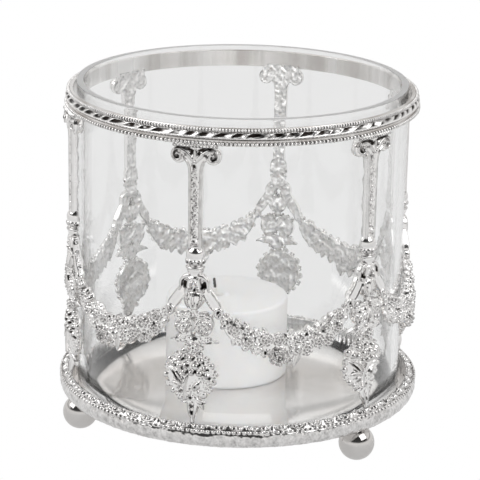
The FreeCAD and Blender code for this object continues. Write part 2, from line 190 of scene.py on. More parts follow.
class Casting:
    """Overlapping closed forms that are cast as one piece, and the pits that are darkened with painted shade.
    """

    def __init__(self):
        self.points, self.faces, self.count = [], [], 0
        self.pits = []

    def add(self, form):
        points, faces = form
        points = np.array(points, float)
        points[:, 1] = np.maximum(points[:, 1], 0)
        self.points.append(points)
        self.faces += [tuple(i + self.count for i in face) for face in faces]
        self.count += len(points)

    def ball(self, x, y, z, radii, turn=0.0):
        """A ball or an ellipsoid, turned by turn radians in the plane of the back."""
        radii = np.broadcast_to(radii, 3)
        points = BALL[0] * radii
        across, up = points[:, 0].copy(), points[:, 2].copy()
        points[:, 0] = across * cos(turn) - up * sin(turn)
        points[:, 2] = across * sin(turn) + up * cos(turn)
        self.add((points + (x, y, z), BALL[1]))

    def strip(self, path, widths, heights, section, steps=24):
        """A strip along (x, z) or (x, y, z) points, with that section. Widths are half widths, and a width or
        height may be one number or a few that are spread evenly along the strip."""
        path = np.asarray(path, float)
        if path.shape[1] == 2:
            path = np.column_stack([path[:, 0], np.zeros(len(path)), path[:, 1]])
        at = np.linspace(0, 1, len(path))
        sizes = [np.interp(at, np.linspace(0, 1, np.size(size)), np.atleast_1d(size))
                 for size in (widths, heights)]
        line = through(np.column_stack([path, *sizes]), steps)
        along = np.gradient(line[:, [0, 2]], axis=0)
        along /= np.maximum(np.linalg.norm(along, axis=1), 1e-9)[:, None]
        rings = []
        for (x, y, z, w, h), (ax, az) in zip(line, along):
            rings.append([(x + az * u * w, y + v * h, z - ax * u * w) for u, v in section])
        self.add(loft(rings))

    def leaf(self, base, tip, width, height, bend=0.0, lobes=0):
        """A pointed leaf with a grooved midrib. bend bows it sideways, and lobes notch its edges."""
        base, tip = np.array(base, float), np.array(tip, float)
        along = tip - base
        side = np.array([along[1], -along[0]])
        steps = 9 if not lobes else 4 * lobes + 5
        path, widths, heights = [], [], []
        for t in np.linspace(0, 1, steps):
            point = base + along * t + side * bend * sin(pi * t)
            notch = 1 - 0.3 * abs(sin(pi * lobes * t)) if lobes else 1
            path.append(point)
            widths.append(max(0.12, width * notch * sin(pi * min(1, 0.12 + 0.88 * t)) ** 0.75))
            heights.append(height * (1 - 0.45 * t ** 2))
        self.strip(path, widths, heights, LEAF, steps=max(14, steps))

    def flower(self, x, y, z, radius, petals=5, turn=0.0):
        """Rounded petals round a beaded eye."""
        for i in range(petals):
            angle = turn + TAU * i / petals
            out = 0.6 * radius
            width = min(0.46, 2.1 / petals) * radius
            self.ball(x + out * cos(angle), y, z + out * sin(angle),
                      (0.44 * radius, 0.56 * radius, width), angle)
        self.ball(x, y + 0.2 * radius, z, (0.27 * radius, 0.42 * radius, 0.27 * radius))

    def rose(self, x, y, z, radius, turn=0.0, squash=1.0):
        """A full bloom: rings of overlapping petals that curl up towards a small heart."""
        for reach, petals, lift in ((0.74, 7, 0.0), (0.4, 5, 0.2)):
            for i in range(petals):
                angle = turn + TAU * (i + 1.7 * reach) / petals
                across = reach * radius * cos(angle)
                up = squash * reach * radius * sin(angle)
                self.ball(x + across, y + lift * radius, z + up,
                          (0.16 * radius, 0.34 * radius, 0.95 * radius * reach * pi / petals),
                          atan2(up, across))
        self.ball(x, y, z, (0.7 * radius, 0.2 * radius, 0.7 * squash * radius))
        self.ball(x, y + 0.36 * radius, z, 0.14 * radius)

    def pit(self, x, z, wide, high=None, turn=0.0, dark=2.2):
        """Marks an ellipse to be sunk into the front and darkened with painted shade. Over 1, dark only
        spreads the painted black further out.
        """
        self.pits.append((x, z, wide, high or wide, turn, dark))

    def boss(self, x, z, profile, segments=40):
        """A round boss about an outward axis through (radius, depth) points."""
        points, faces = lathe([(0, profile[0][1]), *profile, (0, profile[-1][1])], segments)
        self.add((np.column_stack([points[:, 0] + x, points[:, 2], -points[:, 1] + z]), faces))

    def turned_post(self, profile, depth, segments=48):
        """A lathe-turned form about an upright axis at that depth."""
        points, faces = lathe(profile, segments)
        self.add((points + (0, depth, 0), faces))

    def mesh(self, name, step, smoothing):
        """The forms as one closed skin, softened as a casting is, then wrapped round the lantern's axis."""
        rough = bpy.data.meshes.new(name)
        rough.from_pydata(np.vstack(self.points).tolist(), [], self.faces)
        form = bpy.data.objects.new(name, rough)
        bpy.context.scene.collection.objects.link(form)
        remesh = form.modifiers.new("one skin", "REMESH")
        remesh.mode = "VOXEL"
        remesh.voxel_size = step
        soften = form.modifiers.new("soften", "SMOOTH")
        soften.factor = 0.5
        soften.iterations = smoothing
        evaluated = form.evaluated_get(bpy.context.evaluated_depsgraph_get())
        skin = bpy.data.meshes.new_from_object(evaluated)
        bpy.data.objects.remove(form)
        bpy.data.meshes.remove(rough)
        skin.name = name
        flat = read_points(skin)
        darkness = self.press_pits(flat)
        back = np.clip(1.4 - flat[:, 1] / BACK_SKIN, 0, 1)
        roughen_back(flat)
        angle, radius = flat[:, 0] / WRAP_R, BACK_R + flat[:, 1]
        wrapped = np.column_stack([radius * np.sin(angle), -radius * np.cos(angle), flat[:, 2]]) * MM
        skin.vertices.foreach_set("co", wrapped.astype(np.float32).ravel())
        skin.polygons.foreach_set("use_smooth", [True] * len(skin.polygons))
        skin.update()
        mark_recesses(skin, step * MM, darkness)
        store_values(skin, "back", back)
        return skin

    def press_pits(self, flat):
        """Sinks each pit into the front and returns how dark each point's painted shade becomes."""
        darkness = np.zeros(len(flat))
        for x, z, wide, high, turn, dark in self.pits:
            across, up = flat[:, 0] - x, flat[:, 2] - z
            u = (across * cos(turn) + up * sin(turn)) / wide
            v = (up * cos(turn) - across * sin(turn)) / high
            inside = np.clip(PIT_EDGE - u * u - v * v, 0, 1) * (flat[:, 1] > FRONT_DEPTH)
            flat[:, 1] -= np.minimum(PIT_DEPTH * inside, 0.5 * flat[:, 1])
            darkness = np.maximum(darkness, dark * np.clip(1.3 * inside, 0, 1))
        return darkness


def roughen_back(flat):
    """Pushes the flat back in and out, as the back of a sand casting is."""
    for point in flat:
        if point[1] < BACK_SKIN:
            slow = noise.noise((point[0] / 3.4, 0, point[2] / 3.4))
            quick = noise.noise((point[0] / 1.5, 7, point[2] / 1.5))
            push = max(-0.6, 0.85 * slow + 0.35 * quick - 0.1)
            point[1] += push * (1 - max(point[1], 0) / BACK_SKIN)


def unit_ball():
    """A coarse ball of radius 1. The castings' skin rounds it off."""
    rings, sides = 9, 14
    profile = [(sin(t), cos(t)) for t in np.linspace(0, pi, rings)]
    profile[0], profile[-1] = (0, 1), (0, -1)
    return lathe(profile, sides)


BALL = unit_ball()


def read_points(mesh):
    points = np.zeros(3 * len(mesh.vertices), np.float32)
    mesh.vertices.foreach_get("co", points)
    return points.reshape(-1, 3).astype(float)


def store_values(mesh, name, values):
    """Keeps a value for each point, for the materials to read."""
    mesh.attributes.new(name, "FLOAT", "POINT").data.foreach_set("value", values.astype(np.float32))


def mark_recesses(mesh, step, darkness=0.0):
    """Stores how much painted shade each point gets: how hollow the surface is there, or the darkness it was
    given if more.
    """
    points = read_points(mesh)
    normals = np.zeros(3 * len(points), np.float32)
    mesh.vertices.foreach_get("normal", normals)
    normals = normals.reshape(-1, 3)
    edges = np.zeros(2 * len(mesh.edges), np.int32)
    mesh.edges.foreach_get("vertices", edges)
    a, b = edges.reshape(-1, 2).T
    degree = np.maximum(np.bincount(a, minlength=len(points)) + np.bincount(b, minlength=len(points)), 1)

    def neighbours_mean(values):
        total = np.zeros_like(values)
        np.add.at(total, a, values[b])
        np.add.at(total, b, values[a])
        return total / degree.reshape(-1, *[1] * (values.ndim - 1))

    spread = points
    for _ in range(HOLLOW_ROUNDS):
        spread = neighbours_mean(spread)
    hollow = neighbours_mean(((spread - points) * normals).sum(axis=1))
    # painted shade: the hollower the surface, the darker its colour is made
    painted_shade = np.maximum(np.clip(hollow / (FULL_HOLLOW * step), 0, 1), darkness)
    store_values(mesh, "recess", painted_shade)


# ---- gallery castings ----

KNOP_Z = 91.3
KNOP_R = 4.2
SHAFT_LOW_Z = 94.3
SHAFT_TOP_Z = 124.5
VOLUTE_X = 6.9
VOLUTE_Z = 131.9
VOLUTE_R = 3.35
CARTOUCHE = (-1.4, 42.7)
CARTOUCHE_R = 11.2
CASTING_STEP = 0.21               # size of the castings' mesh


def model_shaft(cast):
    """A flat shaft between two raised edges, with a channel full of fine grains and pits."""
    low, high = SHAFT_LOW_Z, SHAFT_TOP_Z + 1
    widths = (2.6, 2.85)
    cast.strip([(0, low), (0, high)], widths, 2.1, SLAB, steps=8)
    for side in (-1, 1):
        ridge = on_side(side, ((widths[0] - 0.62, low), (widths[1] - 0.62, high)))
        cast.strip(ridge, 0.66, 3.1, PILL, steps=8)
    cast.strip([(-2.2, 98.1), (0, 97.2), (2.2, 98.1)], 0.6, 2.9, PILL, steps=10)
    draw = random.Random(11)
    for _ in range(150):
        cast.ball(draw.uniform(-1.3, 1.3), 1.9, draw.uniform(98.6, 128.5), draw.uniform(0.35, 0.62))
    for z in np.arange(98.8, 129, 0.26):
        x = max(-1.5, min(1.3, draw.gauss(-0.5, 0.75)))
        cast.pit(x, z, draw.uniform(0.13, 0.24), draw.uniform(0.15, 0.34), dark=draw.uniform(0.3, 1.0))


def model_capital(cast):
    """An Ionic capital: a flaring neck, two scrolls with a leaf between them, and a beaded slab."""
    scroll_steps = 26
    neck = [(0, SHAFT_TOP_Z - 0.5), (0, SHAFT_TOP_Z + 2.4), (0, SHAFT_TOP_Z + 4.6), (0, 130.6), (0, 134.6)]
    cast.strip(neck, (2.8, 2.9, 3.2, 4.4, 5.2), (2.2, 2.3, 2.6, 2.9, 2.9), SLAB, steps=16)
    for side in (-1, 1):
        edge = on_side(side, ((2.2, SHAFT_TOP_Z), (2.5, 127.4), (3.4, 129.6), (5.0, 131.0)))
        cast.strip(edge, (0.66, 0.66, 0.6, 0.4), (3.1, 3.2, 3.5, 3.5), PILL, steps=14)
        x = side * VOLUTE_X
        disc = [(VOLUTE_R - 0.2, 0), (VOLUTE_R, 0.4), (VOLUTE_R, 2.4), (VOLUTE_R - 0.3, 2.8)]
        cast.boss(x, VOLUTE_Z, disc)
        scroll = on_side(side, ((0.2, 129.4), (2.0, 131.6), (4.4, 133.6)))
        for t in np.linspace(0, 1, scroll_steps):
            reach = (VOLUTE_R - 0.65) * (1 - t) + 0.5 * t
            angle = pi / 2 - side * TAU * 1.25 * t
            scroll.append((x + reach * cos(angle), VOLUTE_Z + reach * sin(angle)))
            if 0.02 < t < 0.7:
                inner = reach - 0.95
                cast.pit(x + inner * cos(angle), VOLUTE_Z + inner * sin(angle), 0.3, dark=1.0)
        widths = (0.5, 0.9, 0.9, *np.linspace(0.66, 0.42, scroll_steps))
        cast.strip(scroll, widths, np.linspace(3.9, 4.6, len(widths)), PILL, steps=90)
        cast.ball(x, 3.4, VOLUTE_Z, (0.9, 1.2, 0.9))
        cast.pit(side * 3.0, 134.5, 2.5, 0.6, side * 0.3, dark=1.4)
        cast.pit(side * 6.0, 135.0, 2.2, 0.45, -side * 0.12, dark=1.4)
        cast.pit(side * 4.0, 132.2, 0.5, 0.9, side * 0.7, dark=1.2)
    cast.leaf((0, 134.4), (0, 127.6), 1.2, 4.1)
    cast.pit(-1.3, 133.4, 0.75, 1.0)
    cast.pit(1.5, 132.9, 0.5, 0.9)
    cast.pit(-0.6, 127.6, 0.5, 0.7)
    cast.strip([(0, 134.2), (0, 137.4)], 8.7, 2.8, SLAB, steps=4)
    for x in np.linspace(-8.4, 8.4, 14):
        cast.ball(x, 3.4, 135.9, (0.62, 1.0, 0.6))
    cast.strip([(-8.8, 136.8), (8.8, 136.8)], 0.5, 3.3, PILL, steps=6)


def knop_profile():
    """(radius, z) from the top of the ball's neck to the foot of its cup."""
    ball = arc_points((0, KNOP_Z + 0.8), KNOP_R - 0.25, 58, -32, 18)
    return [(0, 96.2), (2.5, 96.2), (2.75, 95.8), (2.7, 95.5), (2.2, 95.4), *ball,
            (2.9, 88.4), (2.9, 87.8), (3.7, 87.75), (4.05, 87.35), (4.0, 86.9), (3.7, 86.6), (3.5, 85.8),
            (3.15, 84.9), (2.9, 84.3), (2.95, 84.0), (2.85, 83.6), (2.4, 83.4), (0, 83.4)]


def model_knop(cast):
    """A ball over a ring of small lobes and a cup."""
    axis_depth = 0.3
    cast.turned_post(knop_profile(), axis_depth)
    lobes = 11
    ring_r = 3.15
    for i in range(lobes):
        angle = TAU * (i + 0.3) / lobes
        cast.ball(ring_r * sin(angle), axis_depth + ring_r * cos(angle), 89.6, 1.2)
        if cos(angle) > 0:
            cast.pit(KNOP_R * sin(angle + 0.5 * TAU / lobes), 89.3, 0.3, 0.6, dark=1.3)
            cast.pit(KNOP_R * sin(angle), 88.2, 0.7, 0.3, dark=0.7)


def model_bow(cast):
    """Ribbons that leave the knot as a strap and a loop, join round an eye and run down to a knuckle."""
    cast.ball(0, 1.2, 82.8, (3.0, 2.6, 1.6))
    for side in (-1, 1):
        arm = on_side(side, ((4.0, 82.0), (4.4, 79.4), (5.5, 76.6), (7.2, 74.1), (8.7, 72.0), (9.9, 70.0)))
        cast.strip(arm, (1.3, 1.7, 2.15, 2.2, 2.1, 1.5), (1.7, 1.9, 2.8, 3.0, 3.0, 2.6), RIBBON, steps=40)
        strap = on_side(side, ((1.6, 84.0), (3.8, 83.4), (5.3, 81.8), (5.6, 79.6), (6.1, 77.6)))
        cast.strip(strap, (0.8, 0.8, 0.62, 0.6, 0.5), (3.2, 3.2, 3.2, 3.2, 2.9), PILL, steps=24)
        loop = on_side(side, ((1.4, 83.0), (2.1, 80.6), (2.7, 78.4), (3.6, 76.8)))
        cast.strip(loop, (0.9, 0.8, 0.8, 0.6), (3.8, 3.6, 3.3, 2.9), PILL, steps=20)
        cast.pit(side * 3.9, 80.3, 0.75, 1.2, -side * 0.15)
        cast.pit(side * 3.6, 79.2, 1.0, 0.6)
        ring = [(side * 10.0 + 1.45 * cos(a), 0.9, 69.2 + 1.7 * sin(a))
                for a in np.linspace(0, TAU, 25)]
        cast.strip(ring, 0.62, 2.3, PILL, steps=36)
        cast.ball(side * 10.0, 0.6, 69.2, (1.5, 1.6, 1.7))
        cast.pit(side * 9.8, 69.5, 0.42, 0.8, -side * 0.5)
        cast.ball(side * 11.3, 1.2, 67.0, (1.5, 1.9, 1.1), -side * 0.7)


def model_bud(cast):
    """A bud of three leaves that hangs from the bow's knot."""
    cast.ball(0, 1.8, 74.4, (3.2, 2.2, 3.9))
    for side in (-1, 1):
        cast.leaf((side * 1.5, 71.0), (side * 2.6, 78.2), 1.5, 4.3, bend=side * 0.12)
        cast.ball(side * 1.5, 2.4, 79.0, (1.0, 1.9, 0.9))
        cast.ball(side * 1.0, 2.6, 81.0, (0.8, 1.6, 1.1))
    cast.leaf((0, 71.4), (0, 78.8), 1.25, 4.9)
    cast.pit(0.2, 78.4, 0.55, 0.7)
    cast.pit(-1.8, 74.6, 0.3)
    cast.pit(1.7, 72.8, 0.3)
    cast.ball(0, 1.6, 70.8, (2.2, 1.9, 0.9))
    cast.ball(0, 1.4, 69.4, (1.5, 1.7, 1.3))


def model_cluster(cast):
    """Two round blooms side by side, a row of small flowers over them, and a leaf out to each side below."""
    small_flowers = ((1.9, 68.2, 1.5), (4.4, 67.9, 1.3), (6.6, 66.8, 1.3), (1.3, 65.6, 1.0), (1.6, 60.2, 1.3))
    draw = random.Random(3)
    for side, radius in ((-1, 3.5), (1, 3.8)):
        middle = side * 4.0
        cast.ball(middle, 0.4, 64.2, (4.2, 2.7, 4.9))
        rim = [(middle + 3.4 * cos(a), 63.7 + 3.9 * sin(a)) for a in np.linspace(0, TAU, 21)]
        cast.strip(rim, 0.45, 3.4, PILL, steps=50)
        for i in range(8):
            angle, out = i * 2.4 + side, radius * sqrt((i + 0.4) / 8) * 0.8
            cast.ball(middle + out * cos(angle), 2.6, 63.6 + out * sin(angle),
                      (draw.uniform(1.2, 1.6), 1.6, draw.uniform(0.75, 0.95)), draw.uniform(0, TAU))
        for x, z, r in small_flowers:
            cast.flower(side * x, 2.6, z, r, turn=x)
        cast.leaf((side * 6.0, 66.6), (side * 8.4, 68.2), 0.9, 2.6)
        cast.flower(side * 4.0, 2.6, 58.9, 1.3, turn=side)
        cast.ball(side * 3.6, 0.6, 57.6, (3.6, 2.1, 1.9), -side * 0.25)
        cast.flower(side * 6.0, 2.4, 57.9, 1.7, turn=0.5 * side)
        cast.leaf((side * 2.6, 56.6), (side * 10.2, 56.6), 1.5, 3.0, bend=-side * 0.08, lobes=2)
    cast.pit(6.4, 56.9, 0.9, 0.3)
    cast.pit(-6.6, 58.2, 0.4, 0.3)
    cast.strip([(-0.4, 67.2), (0.5, 64.4), (-0.4, 61.8)], (0.5, 0.8, 0.6), 4.6, PILL, steps=24)
    cast.ball(0, 0.4, 56.4, (3.4, 2.6, 3.4))
    cast.flower(0.3, 3.2, 54.9, 2.3, petals=6, turn=pi / 2)
    cast.pit(0.3, 54.9, 0.4)
    for x in (-3.0, 3.2):
        cast.flower(x, 2.0, 54.4, 1.2, turn=x)


def model_cartouche(cast):
    """A round, domed posy: knobs and small blooms above, a slit leaf, a stem and a seeded fruit below."""
    cx, cz = CARTOUCHE
    reach = CARTOUCHE_R
    cast.boss(cx, cz, [(reach - 1.4, 0), (reach - 1.2, 1.2), (reach - 2.2, 2.2), (5.5, 3.1), (2.5, 3.4)])
    draw = random.Random(5)
    knobs = 18
    for i in range(knobs):
        angle = TAU * i / knobs + 0.1
        out = reach - draw.uniform(1.0, 1.7)
        x, z = cx + out * cos(angle), cz + out * sin(angle)
        if i % 2:
            cast.ball(x, 1.6, z, draw.uniform(1.1, 1.7))
        else:
            cast.flower(x, 1.8, z, draw.uniform(1.5, 2.0), turn=draw.uniform(0, TAU))
    large_knobs = ((-6.4, 4.4, 1.3), (-3.6, 7.0, 1.3), (-4.2, 4.0, 1.2), (-1.2, 4.6, 1.35), (0.6, 7.4, 1.3),
                   (2.6, 4.4, 1.45), (4.6, 6.6, 1.3), (6.4, 3.6, 1.2), (-1.9, 1.6, 1.2), (1.0, 1.7, 1.2),
                   (4.2, 1.6, 1.3), (7.0, 0.4, 1.2))
    for x, z, r in large_knobs:
        height = 3.5 - 0.018 * (x * x + z * z)
        cast.ball(cx + x, height, cz + z, (1.2 * r, 1.45 * r, 1.1 * r), draw.uniform(0, pi))
        cast.pit(cx + x + draw.uniform(0.8, 1.4), cz + z - draw.uniform(-0.4, 0.8), draw.uniform(0.25, 0.55),
                 draw.uniform(0.5, 0.9), draw.uniform(-0.9, 0.9), dark=draw.uniform(1.0, 2.2))
    cast.leaf((cx - 2.2, cz - 3.2), (cx - 8.8, cz + 2.6), 2.0, 5.0, bend=0.1)
    cast.pit(cx - 5.3, cz - 0.4, 2.4, 0.42, radians(-48))
    cast.leaf((cx - 1.6, cz - 4.2), (cx - 8.0, cz - 3.6), 1.8, 4.4, bend=0.12)
    cast.leaf((cx - 1.6, cz - 5.4), (cx - 4.6, cz - 8.4), 1.5, 4.0, bend=0.1)
    cast.strip([(cx - 0.9, cz - 9.6), (cx - 1.6, cz - 5.6), (cx - 1.2, cz - 2.2), (cx - 0.2, cz + 0.4)],
               (0.8, 0.7, 0.6, 0.4), 4.8, PILL, steps=20)
    cast.ball(cx + 3.2, 2.2, cz - 3.9, (1.8, 2.5, 3.0), -0.7)
    cast.pit(cx + 2.6, cz - 4.0, 0.45, dark=1.5)
    seeds_round_fruit = 12
    for i in range(seeds_round_fruit):
        angle = TAU * i / seeds_round_fruit
        along, across = 3.4 * sin(angle), 2.3 * cos(angle)
        cast.ball(cx + 3.2 + 0.76 * across + 0.64 * along, 2.9, cz - 3.9 + 0.76 * along - 0.64 * across, 0.7)
    veins = ((-6.3, -3.9, 0.1), (-5.0, -2.2, -0.5), (-7.0, 0.9, -0.9), (-3.6, -6.6, 0.9), (-4.6, -5.4, 0.6))
    for x, z, turn in veins:
        cast.pit(cx + x, cz + z, 1.3, 0.22, turn, dark=0.9)
    for _ in range(44):
        angle, out = draw.uniform(-1.45, 0.35), draw.uniform(5.2, 9.0)
        cast.ball(cx + out * cos(angle), 3.7 - 0.02 * out ** 2, cz + out * sin(angle),
                  draw.uniform(0.65, 1.0))
    for _ in range(16):
        angle, out = draw.uniform(0, TAU), 8.8 * sqrt(draw.random())
        cast.ball(cx + out * cos(angle), 3.5 - 0.018 * out ** 2, cz + out * sin(angle),
                  draw.uniform(0.6, 0.9))


def model_tail(cast):
    """A small rose between two leaves, and the long leaf whose tip reaches the tray's rim."""
    cast.ball(0, 1.2, 33.2, (3.0, 2.4, 2.2))
    cast.rose(-0.8, 2.8, 33.8, 1.9, turn=0.3)
    cast.pit(-0.8, 33.8, 0.6, 0.5)
    for side in (-1, 1):
        cast.leaf((side * 0.8, 33.8), (side * 5.3, 31.4), 1.3, 3.4, bend=side * 0.14)
    blade = [(0, 0.0, 33.4), (0, 0.4, 30.6), (0, 1.2, 28.2), (0, 2.0, 26.2), (0, 2.3, 24.8), (0, 2.4, 23.1)]
    cast.strip(blade, (2.0, 2.7, 2.3, 1.6, 1.0, 0.9), (3.2, 3.2, 2.8, 1.9, 1.3, 1.3), LEAF, steps=26)
    cast.leaf((2.2, 32.6), (4.4, 28.4), 1.1, 2.8)
    cast.pit(-0.7, 30.4, 0.5, 0.9, 0.5, dark=1.2)
    cast.pit(-0.2, 27.6, 0.35, 1.1, 0.5, dark=1.5)
    cast.pit(4.0, 31.2, 0.3, 0.5, dark=1.5)


# The garland's outline: how far along its arc from the middle, its lower edge and its upper edge.
GARLAND_EDGE = np.array([(0, 47.0, 61.6), (7.5, 51.0, 61.9), (13, 53.1, 63.0), (17, 54.3, 65.0),
                         (20.5, 57.0, 66.9), (23.5, 59.6, 68.3), (26.4, 64.0, 69.0)])


def garland_low(s):
    return np.interp(abs(s), GARLAND_EDGE[:, 0], GARLAND_EDGE[:, 1])


def garland_high(s):
    return np.interp(abs(s), GARLAND_EDGE[:, 0], GARLAND_EDGE[:, 2])


def garland_depth(s):
    """How far the garland's round body stands out from its back."""
    return 1.9 + 2.0 * (1 - (abs(s) / 27) ** 1.5)


def model_garland(cast):
    """A sagging rope of blooms round two roses, with leaves along its edges and ribbons down its ends."""
    half_length = 26.2
    rings = []
    for s in np.linspace(-half_length, half_length, 41):
        low, high = garland_low(s) + 1.4, garland_high(s) - 1.2
        middle, half = (low + high) / 2, (high - low) / 2
        rings.append([(s, v * garland_depth(s), middle - u * half) for u, v in DOME])
    cast.add(loft(rings))
    cast.rose(-4.1, 3.9, 52.2, 4.6, squash=0.95)
    cast.rose(3.7, 3.9, 58.6, 2.6, turn=0.4)
    large_leaves = (((4.6, 56.0), (2.2, 46.4), 2.3), ((-3.6, 51.0), (-2.9, 46.9), 1.7),
                    ((-12.0, 56.0), (-12.7, 51.9), 1.2), ((8.2, 55.4), (9.0, 50.9), 1.4),
                    ((0.5, 58.0), (2.5, 62.0), 1.2), ((6.0, 57.6), (8.2, 62.2), 1.3))
    for base, tip, width in large_leaves:
        cast.leaf(base, tip, width, 4.6)
    deep_pits = ((-1.0, 60.0, 0.3, 1.1, 0.7), (6.9, 60.2, 0.32, 1.1, -0.6), (-9.3, 53.6, 0.5, 0.8),
                 (-5.6, 55.2, 0.7, 0.4), (-4.0, 51.8, 0.5, 0.3), (-17.0, 59.6, 0.5, 0.6),
                 (-24.2, 66.0, 0.3, 0.8, 0.3), (14.6, 60.4, 0.5, 0.4), (21.0, 62.4, 0.4, 0.6))
    for pit in deep_pits:
        cast.pit(*pit)
    draw = random.Random(37)
    for side in (-1, 1):
        for s in np.arange(9.5, 24, 3.7):
            s += draw.uniform(-0.6, 0.6)
            low, high = garland_low(s), garland_high(s)
            tip = (side * (s + draw.uniform(-0.5, 1.8)), low - draw.uniform(0.2, 1.2))
            cast.leaf((side * s, low + 2.6), tip, draw.uniform(1.3, 1.8), 3.2)
            tip = (side * (s + 0.6), high + draw.uniform(0.1, 0.8))
            cast.leaf((side * (s - 1.5), high - 2.4), tip, 1.3, 3.0)
    scatter_blooms(cast, [(-4.1, 52.2, 4.2), (3.7, 58.6, 2.3), (3.3, 51.0, 2.0)])
    shade = random.Random(41)
    for _ in range(34):
        s = shade.uniform(-24.5, 24.5)
        z = shade.uniform(garland_low(s) + 1.2, garland_high(s) - 1.2)
        cast.pit(s, z, shade.uniform(0.22, 0.42), shade.uniform(0.3, 0.7), shade.uniform(-1.2, 1.2),
                 dark=shade.uniform(0.5, 1.5))
    for side in (-1, 1):
        for outer in (0, 1.2):
            edge = on_side(side, ((27.2 - outer, 69.0), (26.4 - outer, 65.6), (24.4 - outer, 61.4),
                                  (21.2 - outer, 57.8), (17.6 - outer, 55.4)))
            cast.strip(edge, (0.42, 0.5, 0.5, 0.45, 0.3), 2.6, PILL, steps=30)


def scatter_blooms(cast, placed):
    """Small blooms and buds packed over the garland, the largest first, in the gaps that placed leaves."""
    draw = random.Random(23)
    for size, tries in ((2.9, 300), (2.3, 500), (1.8, 800), (1.35, 900)):
        for _ in range(tries):
            s = draw.uniform(-25.8, 25.8)
            low, high = garland_low(s), garland_high(s)
            z = draw.uniform(low + 0.6 * size, high - 0.6 * size)
            if any((s - a) ** 2 + (z - b) ** 2 < (0.86 * (size + r)) ** 2 for a, b, r in placed):
                continue
            placed.append((s, z, size))
            place = (2 * z - low - high) / (high - low)
            depth = garland_depth(s) * sqrt(max(0.1, 1 - 0.8 * place ** 2))
            turn = draw.uniform(0, TAU)
            if size > 2.5:
                cast.rose(s, depth, z, 1.1 * size, turn=turn)
            elif size > 1.6:
                cast.flower(s, depth, z, 1.15 * size, turn=turn)
            else:
                cast.ball(s, depth, z, (1.3 * size, 1.1 * size, 0.85 * size), turn)


# ---- rings and rim ----

def ring_grid(columns, section):
    """A closed ring whose section(angle) gives its (radius, z) points."""
    points = []
    for a in np.arange(columns) * TAU / columns:
        points += [(r * sin(a), -r * cos(a), z) for r, z in section(a)]
    rows = len(points) // columns
    return np.array(points), grid_faces(columns, rows, close_rings=True)


def uneven(angle):
    """How far a motif round a ring strays from its even place, in motifs, as hand-cut ones do."""
    return 0.16 * sin(9 * angle) + 0.12 * sin(23 * angle + 1)


def beaded_ring(seat_r, axis_r, z, bead_r, beads):
    """A row of beads cast as one wire, its back flat against an upright seat, and how dark each point's
    painted shade is, darkest in the necks between beads.
    """
    steps, sides = 8, 12
    neck = 0.3
    darkness = []

    def section(angle):
        phase = (angle * beads / TAU + uneven(angle)) % 1.0 * 2 - 1
        wobble = noise.noise((50 * sin(angle), 50 * cos(angle), z))
        r = bead_r * (1 + 0.14 * wobble) * sqrt(max(neck ** 2, 1 - phase ** 2))
        # painted shade in the necks between beads, stronger or weaker with the noise
        darkness.extend([np.interp(abs(phase), (0.45, 0.8), (0.16 + 0.3 * wobble, 1.1 - wobble))] * sides)
        return [(max(seat_r - 0.05, axis_r + r * cos(t)), z + r * sin(t))
                for t in np.arange(sides) * TAU / sides]

    points, faces = ring_grid(beads * steps, section)
    return points, faces, np.array(darkness)


def rope_ring():
    """A rounded moulding, its upper half cut into slanted leaves, and the painted shade in each leaf's hollow:
    a dark wedge standing for the dark room mirrored there.
    """
    lobes, steps, sides = 70, 20, 24
    seat_r = FLANGE_R - 0.9
    z = (rope_low[2] + rope_high[2]) / 2
    half_height = (rope_high[2] - rope_low[2]) / 2
    depth = rope_high[0] - seat_r
    darkness = []

    def section(angle):
        points = []
        for up in np.linspace(-1, 1, sides):
            phase = (angle * lobes / TAU - 0.42 * up + uneven(angle)) % 1.0
            trough = np.interp(phase, (0.13, 0.21, 0.6, 1.0), (0, 1, 0.95, 0.15))
            cut = trough * np.interp(up, (-0.3, 0.1, 0.75, 0.95), (0, 1, 1, 0))
            dome = sqrt(max(0.0, 1 - up ** 2))
            points.append((seat_r + depth * dome * (1 - 0.62 * cut) + 0.05, z + half_height * up))
            wobble = noise.noise((30 * sin(angle), 30 * cos(angle), up))
            # painted shade and painted reflection of the dark room, in the cut of each leaf
            darkness.append(max(0.0, 2.4 * cut - 0.55) * (0.9 + wobble))
        points += [(seat_r - 0.05, z + half_height), (seat_r - 0.05, z - half_height)]
        darkness.extend((0.0, 0.0))
        return points

    points, faces = ring_grid(lobes * steps, section)
    return points, faces, np.array(darkness)


RIM_MOTIFS = 60
RIM_PITCH = TAU * 73.5 / RIM_MOTIFS


def palmette(x, v):
    """Height of the rim's ornament, x along it from a motif's middle and v from 0 at the lip to 1 below."""
    lobe = 0.0
    for centre, lean, wide, size in ((0.0, 0.0, 0.85, 1.0), (-1.75, -0.5, 0.62, 0.8), (1.75, 0.5, 0.62, 0.8)):
        across = (x - centre - lean * (v - 0.5)) / (wide * (0.55 + 0.6 * v))
        along = (v - 0.45) / 0.42
        inside = max(0.0, 1 - across ** 2 - along ** 4)
        lobe = max(lobe, size * sqrt(inside))
    arch = hypot(x / (0.43 * RIM_PITCH), (v + 0.05) / 0.98)
    arch = exp(-((arch - 1) / 0.1) ** 2)
    dart = exp(-((abs(x) - RIM_PITCH / 2) / 0.5) ** 2 - ((v - 0.3) / 0.3) ** 2)
    return max(0.62 * lobe, 0.5 * arch, 0.55 * dart)


